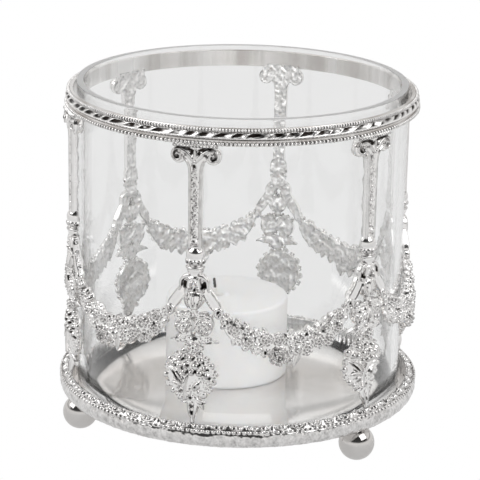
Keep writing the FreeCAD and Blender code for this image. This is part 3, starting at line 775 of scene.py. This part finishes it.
def rim_ring():
    """The tray's rim: inner wall, ornamented shoulder, bead land and a hammered convex band."""
    steps = 26
    inner, foot, top = TRAY_INNER_R, RIM_FOOT_Z, RIM_TOP_Z
    shoulder = through([(inner + 0.35, top - 0.35), (inner + 1.3, top - 0.15), (TRAY_R - 1.6, top - 0.75),
                        (TRAY_R - 0.85, top - 1.6)], 20)
    normals = np.gradient(shoulder, axis=0)
    normals = np.column_stack([-normals[:, 1], normals[:, 0]])
    normals /= np.linalg.norm(normals, axis=1)[:, None]
    wall = [(inner, foot), (inner, foot + 2.3), (inner, top - 1.2), (inner + 0.08, top - 0.55)]
    land = [(TRAY_R - 0.6, top - 1.9), (TRAY_R - 0.6, top - 2.9)]
    bulge_r = 4.97
    band = arc_points((TRAY_R - bulge_r, foot + 3.83), bulge_r, 25, -46, 14)
    under = [(TRAY_R - 2.4, foot), (inner + 1, foot)]

    def section(angle):
        x = ((angle * RIM_MOTIFS / TAU + uneven(angle)) % 1.0 - 0.5) * RIM_PITCH
        wobble = noise.noise((25 * sin(angle), 25 * cos(angle), 0))
        carved = []
        for i, ((r, z), (nr, nz)) in enumerate(zip(shoulder, normals)):
            height = (1.45 + wobble) * palmette(x, i / (len(shoulder) - 1)) - 0.6
            carved.append((r + nr * height, z + nz * height))
        return wall + carved + land + band + under

    return ring_grid(RIM_MOTIFS * steps, section)


def hammered(points, faces, size, depth, low_z, high_z):
    """Pushes the outer wall in and out a little, as chased metal is."""
    for point in points:
        if low_z < point[2] < high_z:
            coarse, fine = Vector(point) / size, Vector(point) / (0.4 * size)
            push = depth * (noise.noise(coarse) + 0.4 * noise.noise(fine))
            point[:2] *= 1 + push / hypot(point[0], point[1])
    return points, faces


def band_profile():
    """(radius, z) round the top ring's band, with eased edges."""
    low_r, high_r = BACK_R, BACK_R + 1.4
    low_z, high_z = band_low[2], band_high[2]
    flange_z = low_z + 2.3
    ease = 0.2
    return [(low_r, low_z + ease), (low_r + ease, low_z), (FLANGE_R - ease, low_z), (FLANGE_R, low_z + ease),
            (FLANGE_R, flange_z - ease), (FLANGE_R - ease, flange_z), (high_r, flange_z),
            (high_r, high_z - ease), (high_r - ease, high_z), (low_r + ease, high_z), (low_r, high_z - ease)]


# ---- glass, candle and feet ----

def glass_profile():
    """(radius, z) round the glass wall, with a ground top whose edges are just eased."""
    inner = GLASS_R - GLASS_WALL
    ease = 0.22
    top = arc_points((GLASS_R - ease, GLASS_TOP_Z - ease), ease, 0, 90, 7)
    top += arc_points((inner + ease, GLASS_TOP_Z - ease), ease, 90, 180, 7)
    bevel = 0.4
    low = glass_low[2]
    heights = np.linspace(low + bevel, GLASS_TOP_Z - ease - 1, 12)
    outside = [(GLASS_R, z) for z in heights]
    inside = [(inner, z) for z in heights[::-1]]
    return [(inner + bevel, low), (GLASS_R - bevel, low)] + outside + top + inside


def foot_profile():
    """(radius, z) of a ball foot from its seat down to the flat it stands on."""
    low, high = node_box("foot_ball_1")
    radius = (high[0] - low[0]) / 2
    centre_z = radius - 0.15
    seat = degrees(asin((high[2] - centre_z) / radius))
    flat = degrees(asin(centre_z / radius))
    ball = arc_points((0, centre_z), radius, seat, -flat, 34)
    return [(0, high[2]), *ball, (0, 0.0)]


def wax_profile(radius, low, high):
    """(radius, z) of a candle stub: a soft rim round a shallow melted top."""
    side = [(radius - 0.5, low), (radius - 0.1, low + 0.4), (radius, low + 1.2), (radius, high - 1.3)]
    rim = [(radius - 0.25, high - 0.45), (radius - 0.8, high - 0.05), (radius - 1.5, high)]
    hollow = [(radius - 2.6, high - 0.25), (radius - 5, high - 0.6), (radius - 11, high - 0.8)]
    wick_foot = [(2.4, high - 0.75), (1.4, high - 0.2), (0.9, high + 0.5), (0, high + 0.6)]
    return [(0, low)] + side + rim + hollow + wick_foot


def wick_mesh(name, start, top_z):
    """A braided wick that leans over and turns up at its burnt end."""
    wick_r = 0.72
    cx, cy = start
    path = through([(cx, cy, top_z - 2.0), (cx - 0.6, cy, top_z - 0.7), (cx - 2.4, cy - 0.6, top_z - 0.5),
                    (cx - 4.3, cy - 1.1, top_z + 0.3), (cx - 4.9, cy - 1.3, top_z + 2.2),
                    (cx - 5.5, cy - 1.4, top_z + 6.9)], 90)
    along = np.gradient(path, axis=0)
    along /= np.linalg.norm(along, axis=1)[:, None]
    rings = []
    for i, (point, ahead) in enumerate(zip(path, along)):
        side = np.cross(ahead, (0, 1, 0))
        side /= np.linalg.norm(side)
        other = np.cross(side, ahead)
        t = i / (len(path) - 1)
        thick = wick_r * (1 - 0.25 * t) * (0.55 if i == len(path) - 1 else 1)
        ring = []
        for a in np.arange(12) * TAU / 12:
            braid = 1 + 0.16 * cos(3 * (a + 0.42 * i))
            ring.append(point + thick * braid * (cos(a) * side + sin(a) * other))
        rings.append(ring)
    return make_mesh(name, *loft(rings))


# ---- materials ----

# the near-black that painted shade pulls hollows, pits and bead gaps towards
HOLLOW_SHADE = (0.03, 0.025, 0.022)
CHAR = (0.025, 0.022, 0.02)
BUFFING_TURN = radians(-14.17)      # about Z, of the buffing lines across the tray


class Nodes:
    """Adds shader nodes to one tree and links them up."""

    def __init__(self, tree):
        self.tree = tree
        self.place = self.node("TexCoord").outputs["Object"]

    def put(self, socket, value):
        """Links value to the socket if it is a node's output, or else sets the socket to it."""
        if isinstance(value, bpy.types.NodeSocket):
            self.tree.links.new(value, socket)
        else:
            socket.default_value = value

    def node(self, kind, inputs=(), **settings):
        """A new node. inputs are by name or number, and settings may be inputs too."""
        node = self.tree.nodes.new("ShaderNode" + kind)
        for key, value in settings.items():
            if key in node.inputs:
                self.put(node.inputs[key], value)
            else:
                setattr(node, key, value)
        for key, value in dict(inputs).items():
            self.put(node.inputs[key], value)
        return node

    def noise(self, scale, detail=3.0, roughness=0.55, place=None):
        return self.node("TexNoise", Vector=place or self.place, Scale=scale, Detail=detail,
                         Roughness=roughness).outputs["Fac"]

    def ramp(self, source, stops):
        node = self.node("ValToRGB", Fac=source)
        elements = node.color_ramp.elements
        while len(elements) < len(stops):
            elements.new(0.5)
        for element, (position, colour) in zip(elements, stops):
            element.position = position
            element.color = colour if len(colour) == 4 else (*colour, 1)
        return node.outputs["Color"]

    def span(self, source, low, high, source_low=0.0, source_high=1.0):
        """source scaled from its own range to low..high."""
        limits = {"From Min": source_low, "From Max": source_high, "To Min": low, "To Max": high}
        return self.node("MapRange", limits, Value=source).outputs["Result"]

    def mix(self, factor, a, b):
        node = self.node("Mix", {"Factor": factor}, data_type="RGBA")
        for i, colour in ((6, a), (7, b)):
            self.put(node.inputs[i], (*colour, 1) if isinstance(colour, tuple) else colour)
        return node.outputs[2]

    def math(self, operation, a, b):
        return self.node("Math", {0: a, 1: b}, operation=operation).outputs[0]

    def bump(self, height, distance, strength=1.0, over=None):
        under = {"Normal": over} if over else {}
        return self.node("Bump", under, Height=height, Strength=strength, Distance=distance).outputs["Normal"]

    def camera_sees(self):
        """1 for what the camera sees straight, 0 for what is mirrored or seen through glass."""
        return self.node("LightPath").outputs["Is Camera Ray"]


class Material(Nodes):
    """A node material built round one Principled shader."""

    def __init__(self, name, **sockets):
        self.data = bpy.data.materials.new(name)
        self.data.use_nodes = True
        super().__init__(self.data.node_tree)
        self.shader = self.tree.nodes["Principled BSDF"]
        for socket, value in sockets.items():
            self.feed(socket.replace("_", " "), value)

    def feed(self, socket, value):
        self.put(self.shader.inputs[socket], value)

    def blend(self, factor, other):
        """Shows the Principled shader where factor is 0 and the other one where it is 1."""
        mixed = self.node("MixShader", {0: factor, 1: self.shader.outputs[0], 2: other.outputs[0]})
        self.put(self.tree.nodes["Material Output"].inputs["Surface"], mixed.outputs[0])


def polished_silver():
    """Bright plate with faint rubbing marks and a slow warm drift in its colour."""
    m = Material("polished_silver", Metallic=1.0)
    m.feed("Base Color", m.ramp(m.noise(28, 4), [(0.3, (0.56, 0.54, 0.525)), (0.7, (0.67, 0.66, 0.65))]))
    m.feed("Roughness", m.span(m.noise(160, 5), 0.07, 0.15, 0.3, 0.7))
    m.feed("Normal", m.bump(m.noise(420, 2), 0.00003, 0.35))
    return m.data


def floor_silver():
    """The tray's plate: buffed along lines, so that reflections blur a little."""
    m = Material("tray_silver", Metallic=1.0)
    across = m.node("Mapping", Vector=m.place, Rotation=(0, 0, BUFFING_TURN), Scale=(0.04, 1, 1))
    lines = m.noise(700, 4, 0.6, across.outputs["Vector"])
    m.feed("Base Color", m.ramp(m.noise(16, 4), [(0.36, (0.70, 0.665, 0.635)), (0.6, (0.88, 0.87, 0.86))]))
    m.feed("Roughness", m.span(m.noise(70, 5), 0.07, 0.14, 0.3, 0.7))
    m.feed("Normal", m.bump(lines, 0.00004, 0.3, over=m.bump(m.noise(45, 3), 0.0002, 0.12)))
    return m.data


def cast_silver():
    """Plated castings: bright on the high points, grainy, with painted shade in the hollows and pits."""
    m = Material("cast_silver", Metallic=1.0)
    recess = m.node("Attribute", attribute_name="recess").outputs["Fac"]
    back = m.node("Attribute", attribute_name="back").outputs["Fac"]
    # painted shade: hollows, pits and bead gaps mixed towards near-black, broken up by noise
    shade_mix = m.math("MULTIPLY", recess, m.span(m.noise(300, 3), 0.45, 1.0, 0.35, 0.65))
    bright = m.ramp(m.noise(60, 4), [(0.3, (0.83, 0.82, 0.81)), (0.7, (0.90, 0.89, 0.885))])
    m.feed("Base Color", m.mix(shade_mix, bright, HOLLOW_SHADE))
    polish = m.span(m.math("ADD", m.noise(500, 4), recess), 0.06, 0.24, 0.35, 1.3)
    m.feed("Roughness", m.math("ADD", polish, m.math("MULTIPLY", back, 0.35)))
    grain = m.bump(m.noise(1500, 3), 0.00006, 0.15)
    m.feed("Normal", m.bump(m.noise(420, 2), 0.00022, 0.22, over=grain))
    return m.data


def brushed_silver():
    """The top ring's plain band, brushed upright on its inside."""
    m = Material("brushed_silver", Metallic=1.0)
    stretched = m.node("Mapping", Vector=m.place, Scale=(1, 1, 0.06))
    streaks = m.noise(64, 4, 0.55, stretched.outputs["Vector"])
    patchy = m.math("MULTIPLY", streaks, m.span(m.noise(11, 2), 0.75, 1.25, 0.35, 0.65))
    m.feed("Base Color", m.ramp(patchy, [(0.32, (0.52, 0.49, 0.465)), (0.56, (0.84, 0.83, 0.82))]))
    m.feed("Roughness", m.span(streaks, 0.2, 0.3, 0.3, 0.7))
    m.feed("Normal", m.bump(streaks, 0.00005, 0.15))
    return m.data


def clear_glass():
    """Clear glass with a finely ground top edge, that lets lamps through to what it shuts in."""
    m = Material("clear_glass", IOR=1.5)
    height = m.node("SeparateXYZ", Vector=m.place).outputs["Z"]
    top = GLASS_TOP_Z
    m.feed("Roughness", m.span(height, 0.0, 0.3, (top - 0.35) * MM, (top - 0.1) * MM))
    m.feed("Transmission Weight", m.span(height, 1.0, 0.5, (top - 0.15) * MM, (top - 0.04) * MM))
    m.feed("Base Color", m.ramp(m.noise(12, 2), [(0.3, (0.985, 0.987, 0.987)), (0.7, (0.995, 0.997, 0.997))]))
    m.feed("Normal", m.bump(m.noise(26, 1), 0.0004, 0.02))
    clear = m.node("BsdfTransparent", Color=(0.95, 0.95, 0.95, 1))
    m.blend(m.node("LightPath").outputs["Is Shadow Ray"], clear)
    return m.data


def white_wax():
    """Paraffin: slightly translucent, mottled and soft to the light."""
    m = Material("white_wax", IOR=1.44, Subsurface_Weight=0.6, Subsurface_Radius=(1.0, 0.9, 0.8),
                 Subsurface_Scale=0.004)
    m.feed("Base Color", m.ramp(m.noise(90, 5), [(0.3, (0.91, 0.905, 0.90)), (0.7, (0.95, 0.948, 0.945))]))
    m.feed("Roughness", m.span(m.noise(240, 3), 0.38, 0.55, 0.3, 0.7))
    m.feed("Normal", m.bump(m.noise(110, 4), 0.0003, 0.18))
    return m.data


def burnt_cotton():
    """A wick, waxed and pale where it leaves the candle and charred above."""
    m = Material("burnt_cotton")
    height = m.node("SeparateXYZ", Vector=m.place).outputs["Z"]
    ragged = m.math("ADD", height, m.span(m.noise(900, 3), -0.0005, 0.0005))
    charred = m.span(ragged, 0, 1, (WAX_TOP_Z + 2.6) * MM, (WAX_TOP_Z + 3.1) * MM)
    thread = m.ramp(m.noise(2500, 3), [(0.35, (0.82, 0.80, 0.77)), (0.65, (0.93, 0.92, 0.90))])
    m.feed("Base Color", m.mix(charred, thread, CHAR))
    m.feed("Roughness", m.span(charred, 0.45, 0.9))
    m.feed("Normal", m.bump(m.noise(1800, 4), 0.0002, 0.8))
    return m.data


POLISHED = polished_silver()
TRAY_PLATE = floor_silver()
CAST = cast_silver()
BRUSHED = brushed_silver()
GLASS = clear_glass()
WAX = white_wax()
COTTON = burnt_cotton()


# ---- pieces ----

def show(name, mesh, material, body, slot, *nodes, turn=0.0, at=(0, 0, 0)):
    """A piece that rides on body, takes its finish from material and stands for those CAD nodes. slot is not
    used.
    """
    piece = bpy.data.objects.new(name, mesh)
    bpy.context.scene.collection.objects.link(piece)
    if not mesh.materials:
        mesh.materials.append(material)
    piece.rotation_euler = (0, 0, turn)
    piece.location = Vector(at) * MM
    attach(piece, body)
    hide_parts(*nodes)
    return piece


def cast_model(name, *models, smoothing=2):
    """The mesh of one casting, whose forms those functions add in turn."""
    cast = Casting()
    for model in models:
        model(cast)
    return cast.mesh(name, CASTING_STEP, smoothing)


def show_casting(name, mesh, node, turn=0.0):
    show(name, mesh, CAST, "stand", "cast_silver", node, turn=turn)


def show_ring(name, node, step, points, faces, darkness):
    """A ring cast in one piece, with painted shade in its hollows. step is the size of its mesh."""
    mesh = make_mesh(name, points, faces)
    mark_recesses(mesh, step * MM, darkness)
    show_casting(name, mesh, node)


def build_gallery():
    column = cast_model("column", model_shaft, model_capital, smoothing=1)
    knop = cast_model("knop", model_knop)
    pendant = cast_model("pendant", model_bow, model_bud, model_cluster, model_cartouche, model_tail)
    garland = cast_model("garland", model_garland)
    for i in range(BAYS):
        n, turn = i + 1, i * BAY_ANGLE
        show_casting(f"column_casting_{n}", column, f"column_{n}", turn)
        show_casting(f"knop_casting_{n}", knop, f"knop_{n}", turn)
        show_casting(f"pendant_casting_{n}", pendant, f"pendant_{n}", turn)
        show_casting(f"garland_casting_{n}", garland, f"swag_{n}", turn + BAY_ANGLE / 2)


def build_rings():
    band = make_mesh("top_band", *lathe(band_profile(), segments=288), smooth_under=30)
    show("top_band", band, BRUSHED, "stand", "polished_silver", "ring_band")
    show_ring("leaf_rope", "rope_moulding", 0.3, *rope_ring())
    upper = beaded_ring(FLANGE_R - 0.9, FLANGE_R - 0.25, z=142.4, bead_r=0.68, beads=360)
    show_ring("upper_beads", "upper_bead_wire", 0.15, *upper)
    lower = beaded_ring(FLANGE_R, FLANGE_R + 0.5, z=137.1, bead_r=0.8, beads=276)
    show_ring("lower_beads", "lower_bead_wire", 0.15, *lower)


def build_tray():
    points, faces = hammered(*rim_ring(), size=2.2, depth=0.32, low_z=RIM_FOOT_Z + 0.1,
                             high_z=RIM_FOOT_Z + 6.0)
    # the rim made darker all over in a noisy pattern, besides the painted shade in its hollows
    rim_darkening = np.array([0.3 + 0.24 * noise.noise(Vector(point) / 2.0) + 0.3 * noise.noise(Vector(point) / 0.7)
                     for point in points])
    show_ring("palmette_rim", "tray_rim", 0.16, points, faces, rim_darkening)
    row = beaded_ring(TRAY_R - 0.6, TRAY_R - 0.55, z=21.0, bead_r=0.72, beads=225)
    show_ring("rim_beads", "rim_bead_wire", 0.2, *row)
    foot = make_mesh("ball_foot", *lathe(foot_profile(), segments=64), smooth_under=40)
    for n in (1, 2, 3):
        low, high = node_box(f"foot_ball_{n}")
        middle = (low + high) / 2
        show(f"ball_foot_{n}", foot, POLISHED, "stand", "polished_silver", f"foot_ball_{n}",
             at=(middle[0], middle[1], 0))
    for node, material in (("tray_floor", TRAY_PLATE), ("foot_studs", POLISHED)):
        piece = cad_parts[node]
        piece.data.materials.clear()
        piece.data.materials.append(material)


def build_loose_parts():
    glass = make_mesh("glass_chimney", *lathe(glass_profile(), segments=256), smooth_under=50)
    show("glass_chimney", glass, GLASS, "glass", "clear_glass", "glass_cylinder")
    middle = (wax_low + wax_high) / 2
    radius = (wax_high[0] - wax_low[0]) / 2
    wax = make_mesh("wax_stub", *lathe(wax_profile(radius, wax_low[2], WAX_TOP_Z), segments=128))
    show("wax_stub", wax, WAX, "candle", "white_wax", "candle_wax", at=(middle[0], middle[1], 0))
    wick = wick_mesh("braided_wick", middle[:2], WAX_TOP_Z)
    show("braided_wick", wick, COTTON, "candle", "burnt_cotton", "candle_wick")


# ---- studio ----

CAMERA_AZIMUTH = radians(14.17)     # from -Y towards +X
CAMERA_REACH = 0.899
CAMERA_HEIGHT = 0.355
CAMERA_PITCH = radians(17.163)      # downwards
CAMERA_ROLL = radians(1.031)
CAMERA_LENS = 169.46
LAMP_TARGET = Vector((0, 0, 0.07))
DIM_HEIGHT = 0.29                   # the dimmer band round the room, as the sine of its elevation


def build_camera():
    data = bpy.data.cameras.new("camera")
    data.sensor_width = 36
    data.lens = CAMERA_LENS
    data.clip_start, data.clip_end = 0.05, 50
    camera = bpy.data.objects.new("camera", data)
    bpy.context.scene.collection.objects.link(camera)
    a = CAMERA_AZIMUTH
    level = Vector((-sin(a), cos(a), 0))
    right = Vector((cos(a), sin(a), 0))
    ahead = level * cos(CAMERA_PITCH) - Vector((0, 0, 1)) * sin(CAMERA_PITCH)
    up = right.cross(ahead)
    turned_right = right * cos(CAMERA_ROLL) + up * sin(CAMERA_ROLL)
    turned_up = up * cos(CAMERA_ROLL) - right * sin(CAMERA_ROLL)
    axes = Matrix((turned_right, turned_up, -ahead)).transposed().to_4x4()
    place = Vector((CAMERA_REACH * sin(a), -CAMERA_REACH * cos(a), CAMERA_HEIGHT))
    camera.matrix_world = Matrix.Translation(place) @ axes
    bpy.context.scene.camera = camera


def softbox(name, azimuth, elevation, reach, size, power, mirrored_by_metal=True, lights_matt=True):
    """An area lamp aimed at the lantern, azimuth in degrees from -Y towards +X."""
    data = bpy.data.lights.new(name, "AREA")
    data.shape = "RECTANGLE"
    data.size, data.size_y = size
    data.energy = power
    lamp = bpy.data.objects.new(name, data)
    bpy.context.scene.collection.objects.link(lamp)
    a, e = radians(azimuth), radians(elevation)
    place = Vector((sin(a) * cos(e), -cos(a) * cos(e), sin(e))) * reach
    lamp.location = place + LAMP_TARGET
    lamp.rotation_euler = (-place).to_track_quat("-Z", "Y").to_euler()
    lamp.visible_glossy = mirrored_by_metal
    lamp.visible_diffuse = lights_matt


def build_floor():
    table_r, thickness = 4000, 2
    points, faces = lathe([(0, 0), (table_r, 0), (table_r, -thickness), (0, -thickness)], segments=96)
    floor = bpy.data.objects.new("studio_floor", make_mesh("studio_floor", points, faces, smooth_under=30))
    bpy.context.scene.collection.objects.link(floor)
    m = Material("white_table", Roughness=0.9, Emission_Color=(1, 1, 1, 1), Emission_Strength=0.55)
    m.feed("Base Color", m.ramp(m.noise(3, 2), [(0.3, (0.32, 0.32, 0.32)), (0.7, (0.34, 0.34, 0.34))]))
    burnt_out = m.node("Emission", Color=(1, 1, 1, 1), Strength=1.0)
    m.blend(m.camera_sees(), burnt_out)
    floor.data.materials.append(m.data)


def build_room():
    """A white room, dimmer in a band above the horizon and dark over the camera's side of it."""
    world = bpy.data.worlds.new("studio")
    bpy.context.scene.world = world
    world.use_nodes = True
    n = Nodes(world.node_tree)
    direction = n.node("TexCoord").outputs["Generated"]
    height = n.node("SeparateXYZ", Vector=direction).outputs["Z"]
    to_camera = (sin(CAMERA_AZIMUTH), -cos(CAMERA_AZIMUTH), 0)
    facing = n.node("VectorMath", {0: direction, 1: to_camera}, operation="DOT_PRODUCT")
    off_band = n.math("ABSOLUTE", n.math("SUBTRACT", height, DIM_HEIGHT), 0.0)
    walls = n.math("MULTIPLY", n.span(height, 0.95, 0.5, 0.4, 1.0), n.span(off_band, 0.55, 1.0, 0.03, 0.1))
    camera_side = n.span(facing.outputs["Value"], 0, 1, 0.1, 0.3)
    dark = n.math("MULTIPLY", camera_side, n.span(height, 0, 1, 0.24, 0.34))
    strength = n.math("MULTIPLY", walls, n.span(dark, 1, 0.06))
    background = world.node_tree.nodes["Background"]
    background.inputs["Color"].default_value = (1.0, 0.99, 0.98, 1)
    n.put(background.inputs["Strength"], n.math("MAXIMUM", strength, n.camera_sees()))


def build_studio():
    build_camera()
    build_floor()
    build_room()
    softbox("overhead", azimuth=194, elevation=72, reach=1.3, size=(1.0, 1.0), power=4.3)
    for name, azimuth in (("left", -61), ("right", 69)):
        softbox(name, azimuth, elevation=45, reach=1.2, size=(0.85, 0.85), power=5.2, lights_matt=False)
    softbox("front", azimuth=degrees(CAMERA_AZIMUTH), elevation=14, reach=1.4, size=(1.2, 0.8), power=8.6,
            mirrored_by_metal=False)
    bpy.context.scene.view_settings.view_transform = "Standard"


build_gallery()
build_rings()
build_tray()
build_loose_parts()
build_studio()
